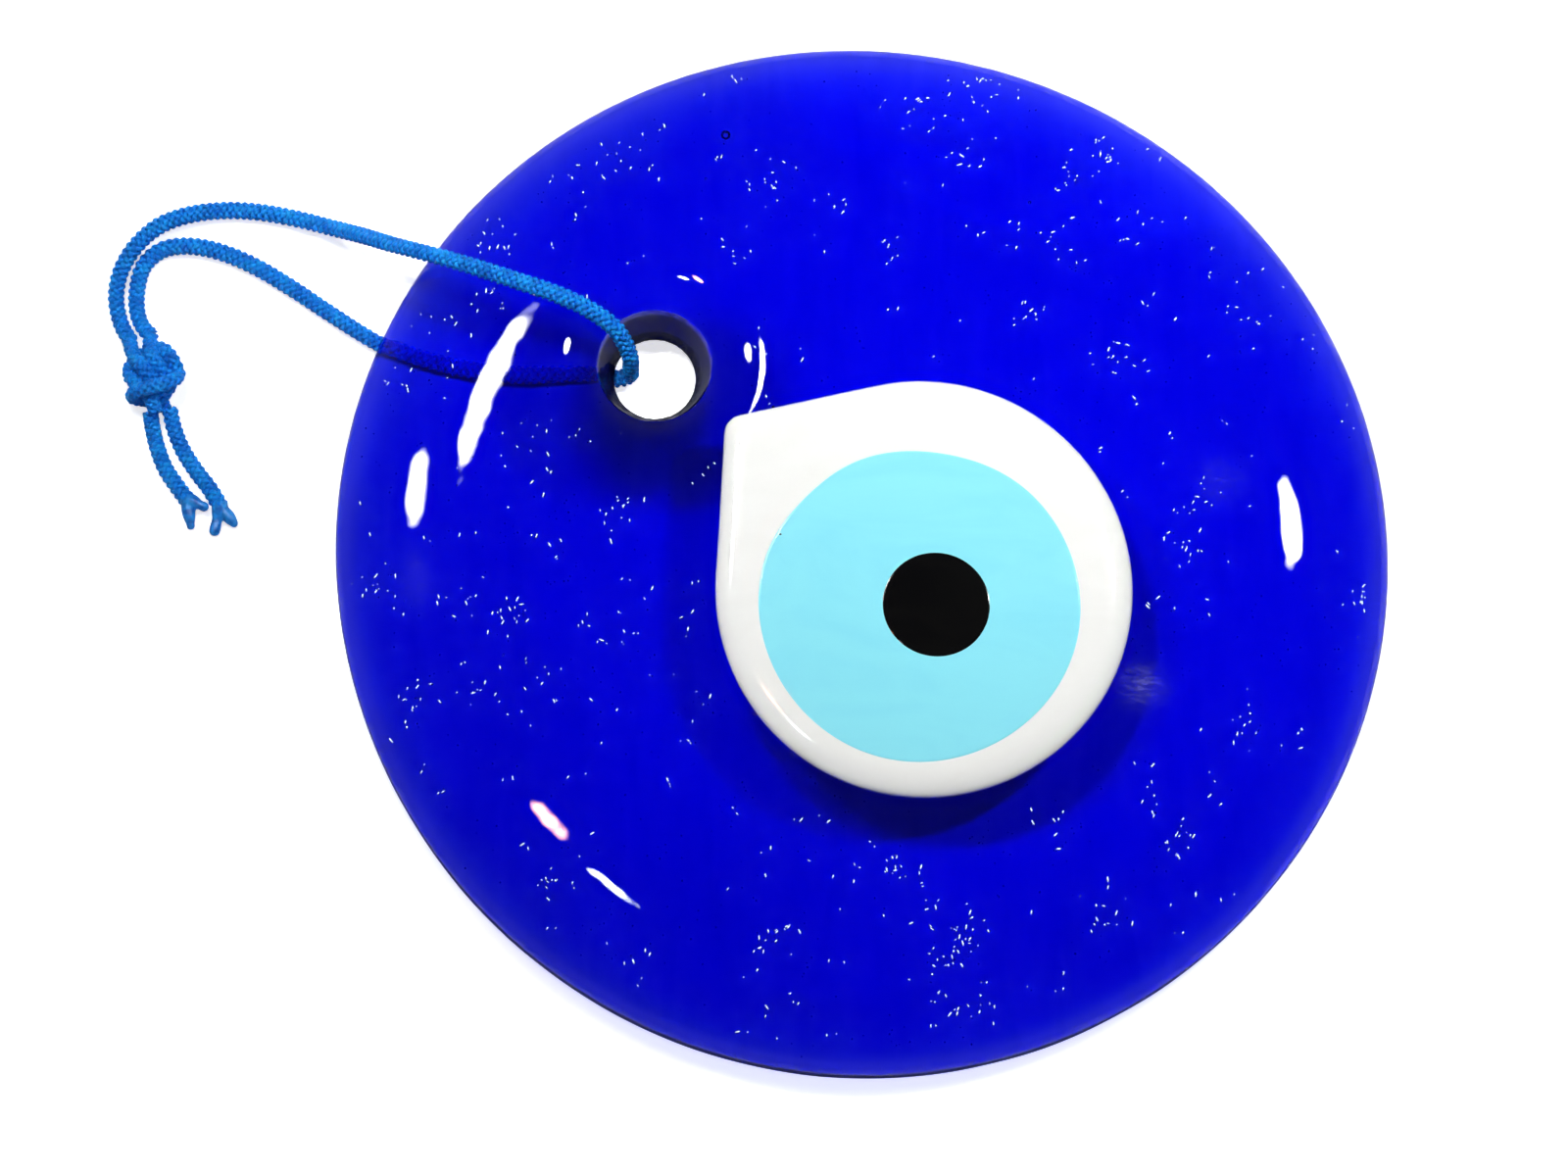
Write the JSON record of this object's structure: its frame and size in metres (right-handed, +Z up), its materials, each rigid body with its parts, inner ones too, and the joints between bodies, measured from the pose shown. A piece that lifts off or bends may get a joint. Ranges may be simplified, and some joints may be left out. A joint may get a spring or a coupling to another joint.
{
  "type": "evil eye ornament",
  "caption": "Round blue glass disc with an eye of white, light blue and black glass fused on its front, and a knotted hanging cord through a hole near its edge.",
  "frame": {"origin": "on the surface that the ornament lies on, under the middle of the glass's bounding box", "axes": "+Z up, away from that surface; +Y towards the top of the eye as it lies; the hole and the cord are on the -X side"},
  "size_m": [0.16, 0.13, 0.0143],
  "materials": {
    "blue_glass": "fire-polished clear cobalt glass",
    "white_glass": "fire-polished opaque glass",
    "light_blue_glass": "fire-polished opaque glass",
    "black_glass": "fire-polished opaque glass",
    "cord": "braided polyester",
    "cord_melt": "melted polyester"
  },
  "bodies": {
    "root": {"glass_disc": "blue_glass", "white_layer": "white_glass", "light_blue_layer": "light_blue_glass", "black_pupil": "black_glass", "cord_strand_front": "cord", "cord_strand_back": "cord", "cord_knot": "cord", "cord_tail_left": "cord", "cord_tail_right": "cord", "cord_end_left": "cord_melt", "cord_end_right": "cord_melt"}
  },
  "joints": []
}
